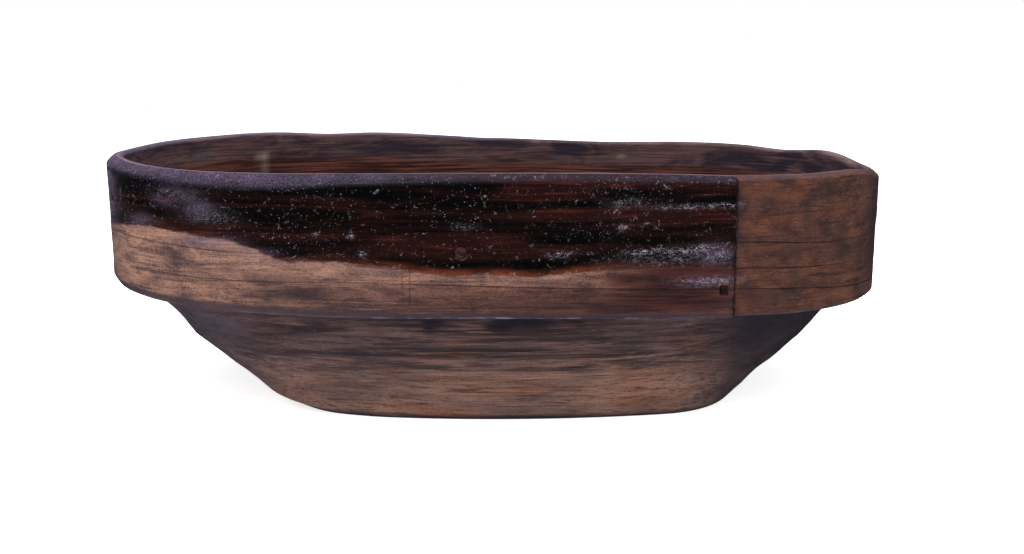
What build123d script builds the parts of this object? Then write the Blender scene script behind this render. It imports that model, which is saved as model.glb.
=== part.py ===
from build123d import *

import os
from math import asin, cos, sin

# Bentwood bowl: a flat-footed hull carved from one block, with one bent strip
# of wood closed round its top. The strip's ends are thinned and lapped on the
# front side (-Y), bonded, and held by two wooden pegs.
# Units are millimetres. +Z is up, +X runs along the bowl's length, and the
# origin is the middle of the foot, on the surface that the bowl stands on.

# --- Driving dimensions ------------------------------------------------------

# Rim band, seen from above: four shallow arcs joined by rounded corners.
RIM_LENGTH = 300.0
RIM_WIDTH = 180.0
SIDE_BOW = 20.0  # how far each long side bows out past its corners
END_BOW = 17.0  # how far each end bows out past its corners
CORNER_RADIUS = 66.0
RIM = (RIM_LENGTH, RIM_WIDTH, SIDE_BOW, END_BOW, CORNER_RADIUS)
BAND_WALL = 6.0
BAND_HEIGHT = 50.0

# Foot, the flat oval that the bowl stands on, and belly, where its sides
# are fullest: (length, width, side bow, end bow, corner radius).
FOOT = (182.0, 116.0, 10.0, 13.0, 34.0)
FOOT_SHIFT_X = 4.0  # the foot was cut a little off centre
FOOT_ROUND = 4.0  # rounding between the foot and the sloping sides
BELLY = (251.0, 143.0, 14.0, 15.0, 50.0)
BELLY_SHIFT_X = 2.0

# Heights above the surface.
BELLY_Z = 28.0
SKIRT_Z = 45.0  # the band's lower edge, which hangs below its seat
SEAT_Z = 50.0  # where the hull's sloping side meets the band's inner face
TONGUE_HEIGHT = 12.0  # the upright lip of the hull, inside the band
FLOOR_Z = 9.0  # floor of the hollow

# Tongue and groove between the hull and the band.
TONGUE_WALL = 5.0
BEAD_DEPTH = 2.0
BEAD_HEIGHT = 5.0
BEAD_LIFT = 5.5  # bead above the seat

# Hollow of the hull.
FLOOR_INSET = 14.0  # hollow's floor outline, inside the foot outline
BELLY_WALL = 10.0
FLOOR_ROUND = 8.0

# Lapped ends of the strip.
SEAM_X = 84.0  # blunt end of the outer lap, seen from the front
INNER_END_X = -30.0  # end of the inner lap, inside the bowl
LAP_STEP = 1.2  # how far the outer lap stands proud at the seam
OUTER_END_THICKNESS = 2.2
INNER_END_THICKNESS = 1.4
BOND_THICKNESS = 0.3
PAD_LEAD = 10.0  # the swelling starts this far before the inner end
PAD_START_OUT = -0.2  # and starts just under the band's face

# Edges of the band.
TOP_OUTER_ROUND = 2.6
TOP_INNER_ROUND = 1.0
SKIRT_CHAMFER_HEIGHT = 3.4
SKIRT_CHAMFER_DEPTH = 2.0

# Pegs through the lap.
LAP_PEG_X = -12.0
LAP_PEG_Z = 68.0
LAP_PEG_RADIUS = 2.1
SEAM_PEG_X = 81.2
SEAM_PEG_Z = 53.6
SEAM_PEG_WIDTH = 2.8
SEAM_PEG_SUNK = 0.9  # its head is broken off below the band's face
SEAM_PEG_SHORT = 1.5  # it stops this far short of the tongue's inner face

# --- Derived dimensions ------------------------------------------------------

TONGUE_TOP_Z = SEAT_Z + TONGUE_HEIGHT
BEAD_Z = SEAT_Z + BEAD_LIFT
PAST_WALL = BAND_WALL + 2  # a depth or height that is safely clear of the wall
THROUGH_WALL = 3 * PAST_WALL
SIDE_CHORD = RIM_LENGTH / 2 - END_BOW
SIDE_RADIUS = (SIDE_CHORD**2 + SIDE_BOW**2) / (2 * SIDE_BOW)
SIDE_CENTRE_Y = SIDE_RADIUS - RIM_WIDTH / 2


# --- Shared profiles ---------------------------------------------------------


def oval(length, width, side_bow, end_bow, corner_radius):
    """Four shallow arcs with rounded corners, as a face of the current sketch."""
    half_x, half_y = length / 2, width / 2
    corner_x, corner_y = half_x - end_bow, half_y - side_bow
    with BuildLine() as outline:
        ThreePointArc((-corner_x, -corner_y), (0, -half_y), (corner_x, -corner_y))
        ThreePointArc((corner_x, -corner_y), (half_x, 0), (corner_x, corner_y))
        ThreePointArc((corner_x, corner_y), (0, half_y), (-corner_x, corner_y))
        ThreePointArc((-corner_x, corner_y), (-half_x, 0), (-corner_x, -corner_y))
    face = make_face(outline.edges())
    fillet(face.vertices(), radius=corner_radius)


def outline(sizes, height, inward=0, shift_x=0):
    """An oval drawn in by some distance and shifted, at a height."""
    with BuildSketch(Plane((shift_x, 0, height))) as sketch:
        oval(*sizes)
        if inward:
            offset(amount=-inward)
    return sketch.sketch


def front_point(x, outward):
    """A point on the band's front face at x, moved outward by some distance."""
    radius = SIDE_RADIUS + outward
    angle = asin(x / SIDE_RADIUS)
    return (radius * sin(angle), SIDE_CENTRE_Y - radius * cos(angle))


def front_arc(start_x, start_out, end_x, end_out):
    """An arc that follows the front side while its depth changes evenly."""
    middle = front_point((start_x + end_x) / 2, (start_out + end_out) / 2)
    ThreePointArc(front_point(start_x, start_out), middle, front_point(end_x, end_out))


def front_line(x, start_out, end_out):
    """A straight line through the wall, square to the front face at x."""
    Line(front_point(x, start_out), front_point(x, end_out))


def peg_plane(x, z, outward):
    """A plane on the band's front face at x and z, facing out of the bowl."""
    face_x, face_y = front_point(x, outward)
    normal = (face_x, face_y - SIDE_CENTRE_Y, 0)
    return Plane(origin=(face_x, face_y, z), x_dir=(0, 0, 1), z_dir=normal)


def lap_rise(x):
    """How far the outer lap stands proud of the plain oval at x."""
    return LAP_STEP * (x - INNER_END_X) / (SEAM_X - INNER_END_X)


# --- Strip before its ends are parted ----------------------------------------

# The whole ring with its groove and worked edges. The rim band and the bond
# are both cut from it, so they meet face to face.
with BuildPart() as band_blank:
    extrude(outline(RIM, SKIRT_Z), amount=BAND_HEIGHT)
    skirt_edges = band_blank.faces().sort_by(Axis.Z)[0].edges()
    skirt_face = band_blank.faces().sort_by(Axis.Z)[0]
    chamfer(skirt_edges, SKIRT_CHAMFER_HEIGHT, SKIRT_CHAMFER_DEPTH, reference=skirt_face)

    top_edges = band_blank.faces().sort_by(Axis.Z)[-1].edges()
    fillet(top_edges, radius=TOP_OUTER_ROUND)

    # The outer lap swells towards the seam.
    pad_start_x = INNER_END_X - PAD_LEAD
    with BuildSketch(Plane.XY.offset(SKIRT_Z + SKIRT_CHAMFER_HEIGHT)):
        with BuildLine():
            front_arc(pad_start_x, PAD_START_OUT, SEAM_X, LAP_STEP)
            front_line(SEAM_X, LAP_STEP, -BAND_WALL / 2)
            front_arc(SEAM_X, -BAND_WALL / 2, pad_start_x, -BAND_WALL / 2)
            front_line(pad_start_x, -BAND_WALL / 2, PAD_START_OUT)
        make_face()
    extrude(amount=BAND_HEIGHT - SKIRT_CHAMFER_HEIGHT - TOP_OUTER_ROUND)

    # Open the ring and cut the groove for the bead.
    extrude(outline(RIM, SKIRT_Z, BAND_WALL), amount=BAND_HEIGHT, mode=Mode.SUBTRACT)
    inner_top_edges = band_blank.faces().sort_by(Axis.Z)[-1].inner_wires()[0].edges()
    fillet(inner_top_edges, radius=TOP_INNER_ROUND)
    groove = outline(RIM, BEAD_Z, BAND_WALL - BEAD_DEPTH)
    extrude(groove, amount=BEAD_HEIGHT, mode=Mode.SUBTRACT)

# --- Carved base -------------------------------------------------------------

with BuildPart() as carved_base:
    # Sloping hull from the foot to the band's inner face.
    hull_sections = [
        outline(FOOT, 0, shift_x=FOOT_SHIFT_X),
        outline(BELLY, BELLY_Z, shift_x=BELLY_SHIFT_X),
        outline(RIM, SEAT_Z, BAND_WALL),
    ]
    loft(hull_sections)
    foot_edges = carved_base.faces().sort_by(Axis.Z)[0].edges()
    fillet(foot_edges, radius=FOOT_ROUND)

    # Upright tongue and the bead that locks into the band's groove.
    extrude(outline(RIM, SEAT_Z, BAND_WALL), amount=TONGUE_HEIGHT)
    extrude(outline(RIM, BEAD_Z, BAND_WALL - BEAD_DEPTH), amount=BEAD_HEIGHT)

    # Hollow, from its flat floor to the mouth inside the tongue.
    hollow_sections = [
        outline(FOOT, FLOOR_Z, FLOOR_INSET, FOOT_SHIFT_X),
        outline(BELLY, BELLY_Z, BELLY_WALL, BELLY_SHIFT_X),
        outline(RIM, TONGUE_TOP_Z, BAND_WALL + TONGUE_WALL),
    ]
    loft(hollow_sections, mode=Mode.SUBTRACT)
    floor_edges = carved_base.faces().filter_by(GeomType.PLANE).group_by(Axis.Z)[1].edges()
    fillet(floor_edges, radius=FLOOR_ROUND)

    # Blind hole for the seam peg.
    seam_peg_plane = peg_plane(SEAM_PEG_X, SEAM_PEG_Z, lap_rise(SEAM_PEG_X) - SEAM_PEG_SUNK)
    seam_peg_length = BAND_WALL + TONGUE_WALL + lap_rise(SEAM_PEG_X) - SEAM_PEG_SUNK
    seam_peg_length -= SEAM_PEG_SHORT
    with BuildSketch(seam_peg_plane) as seam_peg_profile:
        Rectangle(SEAM_PEG_WIDTH, SEAM_PEG_WIDTH)
    extrude(seam_peg_profile.sketch, amount=-seam_peg_length, mode=Mode.SUBTRACT)

# --- Lap: the slit, the bond in it and the two pegs --------------------------

# The parting runs straight in at the seam, slants through the wall over the
# length of the overlap, and comes out straight inside the bowl.
slant_start = LAP_STEP - OUTER_END_THICKNESS
slant_end = INNER_END_THICKNESS - BAND_WALL
inner_left_x = INNER_END_X - BOND_THICKNESS
seam_right_x = SEAM_X + BOND_THICKNESS
with BuildSketch(Plane.XY.offset(SKIRT_Z)) as parting:
    with BuildLine():
        front_line(SEAM_X, PAST_WALL, slant_start)
        front_arc(SEAM_X, slant_start, inner_left_x, slant_end)
        front_line(inner_left_x, slant_end, -PAST_WALL)
        Line(front_point(inner_left_x, -PAST_WALL), front_point(INNER_END_X, -PAST_WALL))
        front_line(INNER_END_X, -PAST_WALL, slant_end - BOND_THICKNESS)
        front_arc(INNER_END_X, slant_end - BOND_THICKNESS, seam_right_x, slant_start - BOND_THICKNESS)
        front_line(seam_right_x, slant_start - BOND_THICKNESS, PAST_WALL)
        Line(front_point(seam_right_x, PAST_WALL), front_point(SEAM_X, PAST_WALL))
    make_face()

with BuildSketch(peg_plane(LAP_PEG_X, LAP_PEG_Z, PAST_WALL)) as lap_peg_profile:
    Circle(LAP_PEG_RADIUS)
with BuildSketch(peg_plane(SEAM_PEG_X, SEAM_PEG_Z, PAST_WALL)) as seam_hole_profile:
    Rectangle(SEAM_PEG_WIDTH, SEAM_PEG_WIDTH)

with BuildPart() as rim_band:
    add(band_blank.part)
    extrude(parting.sketch, amount=BAND_HEIGHT, mode=Mode.SUBTRACT)
    extrude(lap_peg_profile.sketch, amount=-THROUGH_WALL, mode=Mode.SUBTRACT)
    extrude(seam_hole_profile.sketch, amount=-THROUGH_WALL, mode=Mode.SUBTRACT)

with BuildPart() as lap_bond:
    extrude(parting.sketch, amount=BAND_HEIGHT)
    add(band_blank.part, mode=Mode.INTERSECT)
    extrude(lap_peg_profile.sketch, amount=-THROUGH_WALL, mode=Mode.SUBTRACT)
    extrude(seam_hole_profile.sketch, amount=-THROUGH_WALL, mode=Mode.SUBTRACT)

with BuildPart() as lap_peg:
    extrude(lap_peg_profile.sketch, amount=-THROUGH_WALL)
    add(band_blank.part, mode=Mode.INTERSECT)

with BuildPart() as seam_peg:
    extrude(seam_peg_profile.sketch, amount=-seam_peg_length)

# --- Write one file for each piece -------------------------------------------

os.makedirs("parts", exist_ok=True)
PIECES = {
    "carved_base": carved_base,
    "rim_band": rim_band,
    "lap_bond": lap_bond,
    "lap_peg": lap_peg,
    "seam_peg": seam_peg,
}
for name, piece in PIECES.items():
    piece.part.label = name
    export_step(piece.part, f"parts/{name}.step")
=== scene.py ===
import math

import bpy
import numpy as np
from mathutils import Euler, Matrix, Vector, noise


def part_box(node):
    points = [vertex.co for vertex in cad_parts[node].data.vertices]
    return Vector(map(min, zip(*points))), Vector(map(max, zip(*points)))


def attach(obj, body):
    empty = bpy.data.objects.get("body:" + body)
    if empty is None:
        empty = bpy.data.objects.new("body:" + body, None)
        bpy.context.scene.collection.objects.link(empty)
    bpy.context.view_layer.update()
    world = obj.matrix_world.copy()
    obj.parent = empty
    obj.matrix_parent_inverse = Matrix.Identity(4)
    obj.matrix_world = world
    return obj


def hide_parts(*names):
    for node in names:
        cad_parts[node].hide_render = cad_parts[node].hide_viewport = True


# The bentwood bowl's looks: detailed meshes and materials that stand for the
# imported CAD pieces. Lengths are in millimetres until a mesh is made. A place
# round the bowl is an arc length along the band's outer face, from the middle
# of the front (-Y) side towards +X.

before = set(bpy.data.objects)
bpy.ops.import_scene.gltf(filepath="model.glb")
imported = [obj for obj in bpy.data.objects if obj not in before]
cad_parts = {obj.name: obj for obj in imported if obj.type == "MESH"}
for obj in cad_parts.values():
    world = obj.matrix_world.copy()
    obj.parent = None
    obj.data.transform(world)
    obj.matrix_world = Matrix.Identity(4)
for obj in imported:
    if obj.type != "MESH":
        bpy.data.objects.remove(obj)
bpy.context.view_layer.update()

MM = 0.001

# --- Sizes, from the frame and from the design -------------------------------


def node_box(node):
    """Lowest and highest corner of a CAD node in millimetres."""
    low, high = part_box(node)
    return np.array(low) / MM, np.array(high) / MM


def peg_box(node):
    """A peg's middle (x, z) and half its height."""
    low, high = node_box(node)
    return ((low[0] + high[0]) / 2, (low[2] + high[2]) / 2), (high[2] - low[2]) / 2


band_low, band_high = node_box("rim_band")
RIM_LENGTH = band_high[0] - band_low[0]
RIM_WIDTH = 2 * band_high[1]
BAND_WALL = 6.0
SKIRT_Z = band_low[2]
TOP_Z = band_high[2]
TONGUE_TOP_Z = node_box("carved_base")[1][2]
TONGUE_HEIGHT = 12.0
SEAT_Z = TONGUE_TOP_Z - TONGUE_HEIGHT
TONGUE_WALL = 5.0
BEAD_Z = SEAT_Z + 5.5
BEAD_DEPTH = 2.0
BEAD_HEIGHT = 5.0

BELLY_Z = 28.0
FLOOR_Z = 9.0
FLOOR_INSET = 14.0
BELLY_WALL = 10.0

SEAM_X = 84.0
INNER_END_X = -30.0
LAP_STEP = 1.2
OUTER_END_THICKNESS = 2.2
INNER_END_THICKNESS = 1.4
BOND = 0.3
PAD_LEAD = 10.0

LAP_PEG, LAP_PEG_RADIUS = peg_box("lap_peg")
SEAM_PEG, SEAM_PEG_HALF = peg_box("seam_peg")


class Oval:
    """Four shallow arcs joined by rounded corners, seen from above.

    A direction is the angle of the outline's normal, from -Y towards +X.
    """

    def __init__(self, length, width, side_bow, end_bow, corner_radius, shift_x=0.0):
        half_x, half_y = length / 2, width / 2
        chord_x, chord_y = half_x - end_bow, half_y - side_bow
        side_radius = (chord_x**2 + side_bow**2) / (2 * side_bow)
        end_radius = (chord_y**2 + end_bow**2) / (2 * end_bow)
        side_centre = np.array([0, side_radius - half_y])
        end_centre = np.array([half_x - end_radius, 0])
        # The corner's circle lies inside both shallow circles and touches them.
        to_side, to_end = side_radius - corner_radius, end_radius - corner_radius
        gap = end_centre - side_centre
        distance = np.hypot(*gap)
        unit = gap / distance
        along = (to_side**2 - to_end**2 + distance**2) / (2 * distance)
        across = math.sqrt(to_side**2 - along**2) * np.array([-unit[1], unit[0]])
        middle = side_centre + along * unit
        corner_centre = max(middle + across, middle - across, key=lambda centre: centre[0] - centre[1])
        from_side, from_end = corner_centre - side_centre, corner_centre - end_centre
        self.turn_in = math.atan2(from_side[0], -from_side[1])
        self.turn_out = math.atan2(from_end[0], -from_end[1])
        self.radii = (side_radius, corner_radius, end_radius)
        self.arcs = [(*side_centre, side_radius), (*corner_centre, corner_radius), (*end_centre, end_radius)]
        self.side = side_radius * self.turn_in
        self.corner = corner_radius * (self.turn_out - self.turn_in)
        self.quarter = self.side + self.corner + end_radius * (math.pi / 2 - self.turn_out)
        self.shift_x = shift_x

    def quarter_direction(self, place):
        """The direction at a place in the first quarter."""
        past_side = place - self.side
        past_corner = past_side - self.corner
        on_side = place / self.radii[0]
        on_corner = self.turn_in + past_side / self.radii[1]
        on_end = self.turn_out + past_corner / self.radii[2]
        return np.where(past_side < 0, on_side, np.where(past_corner < 0, on_corner, on_end))

    def direction(self, place):
        """The direction at any place round the outline."""
        around = np.mod(place, 4 * self.quarter)
        turn = np.floor(around / self.quarter).astype(int)
        inside = around - turn * self.quarter
        backwards = turn % 2 == 1
        inside = np.where(backwards, self.quarter - inside, inside)
        first = self.quarter_direction(inside)
        return np.where(backwards, (turn + 1) * math.pi / 2 - first, turn * math.pi / 2 + first)

    def at(self, direction, outward=0.0):
        """Points (x, y) where the outline faces a direction, moved outward."""
        turned = np.mod(direction, 2 * math.pi)
        side_x = np.where(turned < math.pi, 1.0, -1.0)
        side_y = np.where((turned > math.pi / 2) & (turned < 3 * math.pi / 2), -1.0, 1.0)
        first = np.arctan2(np.abs(np.sin(turned)), np.abs(np.cos(turned)))
        pick = [first < self.turn_in, first < self.turn_out]
        centre_x, centre_y, radius = [np.select(pick, part[:2], part[2]) for part in zip(*self.arcs)]
        radius = radius + outward
        x = side_x * (centre_x + radius * np.sin(first)) + self.shift_x
        y = side_y * (centre_y - radius * np.cos(first))
        return np.stack([x, y], -1)


RIM = Oval(RIM_LENGTH, RIM_WIDTH, 20.0, 17.0, 66.0)
BELLY = Oval(251.0, 143.0, 14.0, 15.0, 50.0, shift_x=2.0)
FOOT = Oval(182.0, 116.0, 10.0, 13.0, 34.0, shift_x=4.0)
QUARTER = RIM.quarter
ROUND = 4 * QUARTER

_quarter_places = np.linspace(0, QUARTER, 400)
_quarter_x = RIM.at(RIM.quarter_direction(_quarter_places))[:, 0]


def front(x):
    """The place on the front side at x."""
    return math.copysign(np.interp(abs(x), _quarter_x, _quarter_places), x)


def back(x):
    """The place on the back side at x, within half a round of the front middle."""
    place = 2 * QUARTER - np.interp(abs(x), _quarter_x, _quarter_places)
    return math.copysign(place, x)


def on_front(*rows):
    """The same rows of numbers with the first, an x on the front side, as a place."""
    return [(front(x), *rest) for x, *rest in rows]


def on_back(*rows):
    """The same rows of numbers with the first, an x on the back side, as a place."""
    return [(back(x), *rest) for x, *rest in rows]


def near_middle(place):
    """The same place, counted from minus to plus half a round."""
    return np.mod(place + ROUND / 2, ROUND) - ROUND / 2


# --- Smooth curves and unevenness --------------------------------------------


def smooth(value, low, high):
    """0 at low, 1 at high, level past them, with an even turn between."""
    part = np.clip((value - low) / (high - low), 0, 1)
    return part * part * (3 - 2 * part)


def through(knots, place):
    """A smooth curve through a few (place, value) knots, level past its ends."""
    places, values = np.array(knots, float).T
    slopes = np.gradient(values, places)
    slopes[0] = slopes[-1] = 0
    index = np.clip(np.searchsorted(places, place) - 1, 0, len(places) - 2)
    span = places[index + 1] - places[index]
    t = np.clip((place - places[index]) / span, 0, 1)
    rise = values[index + 1] - values[index]
    bend_in = slopes[index] * span - rise
    bend_out = rise - slopes[index + 1] * span
    return values[index] + t * rise + t * (1 - t) * (bend_in * (1 - t) + bend_out * t)


def sample(points, size, shift, pattern):
    """One number for each point from a pattern with features of about one size."""
    flat = (np.asarray(points, float) / size).reshape(-1, 3)
    return np.array([pattern(Vector(p) + shift) for p in flat]).reshape(np.shape(points)[:-1])


def unevenness(points, size, seed):
    """Smooth noise, about -1 to 1."""
    shift = Vector((17.3 * seed, 5.1 * seed, 9.7 * seed))
    return sample(points, size, shift, lambda p: noise.fractal(p, 1.0, 2.0, 2))


def tool_marks(points, size):
    """Shallow scallops: zero at a cut's middle, 1 on the ridges between cuts."""
    shift = Vector((7.7, 3.3, 1.9))
    return sample(points, size, shift, lambda p: noise.voronoi(p, distance_metric="DISTANCE")[0][0]) ** 2


def blobs(place, height, spots):
    """Soft-edged spots, each (place, height, half length, half height, strength)."""
    total = np.zeros(np.broadcast(place, height).shape)
    for spot_place, spot_height, half_length, half_height, strength in spots:
        away = ((place - spot_place) / half_length) ** 2 + ((height - spot_height) / half_height) ** 2
        total = np.maximum(total, strength * np.exp(-away))
    return total


# --- Curves that the band follows, by place ----------------------------------

LAP_START = front(INNER_END_X)
SEAM_PLACE = front(SEAM_X)
PAD_START = front(INNER_END_X - PAD_LEAD)


def all_round(value, *knots):
    """Knots closed by the same value at both ends, in the middle of the back."""
    return [(-ROUND / 2, value), *knots, (ROUND / 2, value)]


# Height of the top edge above the design's, round from the middle of the back.
TOP_WAVE = all_round(
    -0.8,
    *on_back((-20, 0.3), (-60, 2.2), (-76, 1.8), (-100, 2.8), (-135, 2.0)),
    (-QUARTER, 1.2),
    *on_front((-146, 1.9), (-128, 0.5), (-85, -0.5), (-33, 0.0), (36, 0.0), (72, -1.0), (86, -1.6)),
    *on_front((98, -1.7), (109, -1.8), (118, -1.8), (132, -1.8), (146, -3.9)),
    (QUARTER, -4.7),
    *on_back((145, -2.5), (132, -3.9), (117, -2.7), (90, -2.0), (52, -2.4), (25, -1.6)),
)
# Height of the lower edge above the design's.
SKIRT_WAVE = all_round(
    0.3,
    (-QUARTER, 3.3),
    *on_front((-140, 3.1), (-117, 1.6), (-99, 0.6), (-80, -0.2), (22, -0.6), (72, -1.5), (112, -1.6)),
    (QUARTER, -1.7),
)
# Heights of the bevel under the top edge and of the chamfer over the lower one.
BEVEL_HEIGHT = all_round(
    2.6,
    (-QUARTER, 3.2),
    *on_front((-123, 3.6), (-85, 4.8), (-50, 3.4), (0, 2.6), (71, 2.3), (100, 1.4), (130, 1.6), (146, 3.0)),
    (QUARTER, 2.8),
)
CHAMFER_HEIGHT = all_round(
    2.6,
    (-QUARTER, 3.4),
    *on_front((-100, 3.3), (-20, 2.3), (60, 2.0)),
    (QUARTER, 1.8),
)
# Drying checks along the grain: their heights, and how deep they are by place.
LOW_CHECK = all_round(
    56.0,
    (-QUARTER, 58.5),
    *on_front((-124, 58.3), (-79, 56.8), (-50, 57.4), (-33, 57.1), (22, 55.6), (85, 53.7)),
    *on_front((109, 52.7), (132, 50.7)),
    (QUARTER, 50.4),
)
LOW_CHECK_DEPTH = [
    *on_front((-135, 0.0), (-118, 0.3), (-60, 0.22), (-20, 0.32), (40, 0.45), (83, 0.35), (110, 0.45)),
    (QUARTER - 8, 0.3),
    (QUARTER + 18, 0.0),
]
MIDDLE_CHECK = all_round(61.0, *on_front((60, 61.6), (86, 61.0), (108, 60.4), (128, 59.9)), (QUARTER, 61.0))
MIDDLE_CHECK_DEPTH = [
    *on_front((80, 0.0), (85, 0.3), (100, 0.42), (120, 0.3), (134, 0.0)),
    *on_back((120, 0.0), (60, 0.35), (-20, 0.3), (-70, 0.0)),
]
HIGH_CHECK = all_round(
    73.0,
    (-QUARTER, 70.5),
    *on_front((-124, 69.2), (-82, 66.7), (-60, 66.6), (-12, LAP_PEG[1])),
    *on_front((50, 70.0), (86, 70.3), (125, 68.5)),
    (QUARTER, 71.0),
)
HIGH_CHECK_DEPTH = [
    (-QUARTER + 12, 0.0),
    *on_front((-124, 0.3), (-90, 0.25), (-76, 0.0), (83, 0.0), (87, 0.32), (112, 0.4), (130, 0.2)),
    (QUARTER + 20, 0.3),
    (QUARTER + 60, 0.0),
]
# Lower edge of the lacquer on the outer face.
LACQUER_EDGE = [
    (-ROUND / 2, 101.0),
    *on_back((-60, 97.0), (-100, 83.0), (-130, 71.0)),
    (-QUARTER, 69.0),
    *on_front((-146, 71.0), (-136, 73.0), (-124, 74.0), (-104, 72.2), (-93, 70.6), (-84, 67.8), (-77, 64.9)),
    *on_front((-60, 64.0), (-36, 62.5), (-19, 60.3), (4, 60.2), (13, 59.5), (31, 61.3), (43, 62.3)),
    (SEAM_PLACE, 61.3),
]
# How much dust and painted sheen the bevel carries, how pale the lower lip is,
# how far the lacquer thins to orange at its edge, and how dark the wood is low down.
BEVEL_DUST_AND_SHEEN = [(-QUARTER, 0.8), *on_front((-110, 0.9), (-64, 0.8), (-30, 0.4), (84, 0.35))]
LIP_PALENESS = [(-QUARTER, 0.2), *on_front((-50, 0.5), (0, 0.9), (30, 0.7), (84, 0.3))]
THIN_EDGE = on_front((-125, 0.2), (-70, 0.35), (-42, 0.9), (30, 0.95), (60, 0.4))
LOW_DARKENING = on_front((-110, 0.15), (-57, 0.5), (-10, 0.9), (60, 1.0))
# Upright hairlines near the inner lap's end: place, lower end, upper end, strength.
HAIRLINES = on_front((-32.2, 50.0, 60.0, 0.5), (-29.7, 50.0, 63.0, 0.8), (-28.8, 76.0, 92.0, 0.6))


def lap_share(place):
    """0 at the inner lap's end, 1 at the seam."""
    return np.clip((place - LAP_START) / (SEAM_PLACE - LAP_START), 0, 1)


def parting(place):
    """How far out the slanting parting lies between the two laps."""
    slant_start = LAP_STEP - OUTER_END_THICKNESS
    slant_end = INNER_END_THICKNESS - BAND_WALL
    return slant_end + (slant_start - slant_end) * lap_share(place)


# --- Mesh making -------------------------------------------------------------


def grid_faces(rows, columns, closed):
    """Quads of a grid of rows by columns, numbered row by row, open or closed round."""
    row = np.arange(rows - 1)[:, None]
    column = np.arange(columns if closed else columns - 1)[None, :]
    following = (column + 1) % columns
    corners = [row * columns + column, row * columns + following]
    corners += [(row + 1) * columns + following, (row + 1) * columns + column]
    faces = np.stack([np.broadcast_to(corner, (rows - 1, column.size)) for corner in corners], -1)
    return faces.reshape(-1, 4)


def sheet_faces(rows, columns):
    """Quads of a wall: its outer grid, then its inner grid, closed along all four edges."""
    count = rows * columns
    low = np.arange(columns - 1)
    top = (rows - 1) * columns + low
    start = np.arange(rows - 1) * columns
    end = start + columns - 1
    outer = grid_faces(rows, columns, closed=False)
    edges = (
        [top, top + 1, top + 1 + count, top + count],
        [low + count, low + 1 + count, low + 1, low],
        [start + columns, start + columns + count, start + count, start],
        [end, end + count, end + columns + count, end + columns],
    )
    return np.concatenate([outer, outer[:, ::-1] + count] + [np.stack(edge, -1) for edge in edges])


def capped_rings(rings, first_middle, last_middle):
    """Points and faces of closed rings, with a fan of triangles at both ends."""
    rows, columns = rings.shape[:2]
    points = np.concatenate([rings.reshape(-1, 3), [first_middle, last_middle]])
    first, last = rows * columns, rows * columns + 1
    column = np.arange(columns)
    following = (column + 1) % columns
    last_row = (rows - 1) * columns
    faces = grid_faces(rows, columns, closed=True).tolist()
    faces += [[first, after, before] for before, after in zip(column, following)]
    faces += [[last, last_row + before, last_row + after] for before, after in zip(column, following)]
    return points, faces


def make_piece(name, points, faces, material, node, values=None, vectors=None):
    """A mesh piece in metres that stands for a CAD node, with named attributes."""
    mesh = bpy.data.meshes.new(name)
    mesh.from_pydata((np.asarray(points) * MM).tolist(), [], [list(map(int, face)) for face in faces])
    mesh.validate()
    for label, data in (values or {}).items():
        layer = mesh.attributes.new(label, "FLOAT", "POINT")
        layer.data.foreach_set("value", np.asarray(data, np.float32).ravel())
    for label, data in (vectors or {}).items():
        layer = mesh.attributes.new(label, "FLOAT_VECTOR", "POINT")
        layer.data.foreach_set("vector", np.asarray(data, np.float32).ravel())
    mesh.shade_smooth()
    mesh.materials.append(material)
    piece = bpy.data.objects.new(name, mesh)
    bpy.context.scene.collection.objects.link(piece)
    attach(piece, "root")
    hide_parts(node)


# --- Shader writing ----------------------------------------------------------

SOFT_SPECULAR = 0.14
COAT_ROUGHNESS = 0.18
COAT_SHARE = 0.4  # how strongly clean lacquer reflects
WOOD_GAIN = 0.95  # from a colour as lit to the wood's own colour


def tone(red, green, blue, gain=1.0):
    """A linear colour from display values 0 to 255."""
    shades = (red, green, blue)
    linear = [((v / 255 + 0.055) / 1.055) ** 2.4 if v > 10 else v / 255 / 12.92 for v in shades]
    return tuple(min(v * gain, 1.0) for v in linear) + (1.0,)


def wood_tone(red, green, blue):
    return tone(red, green, blue, WOOD_GAIN)


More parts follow.
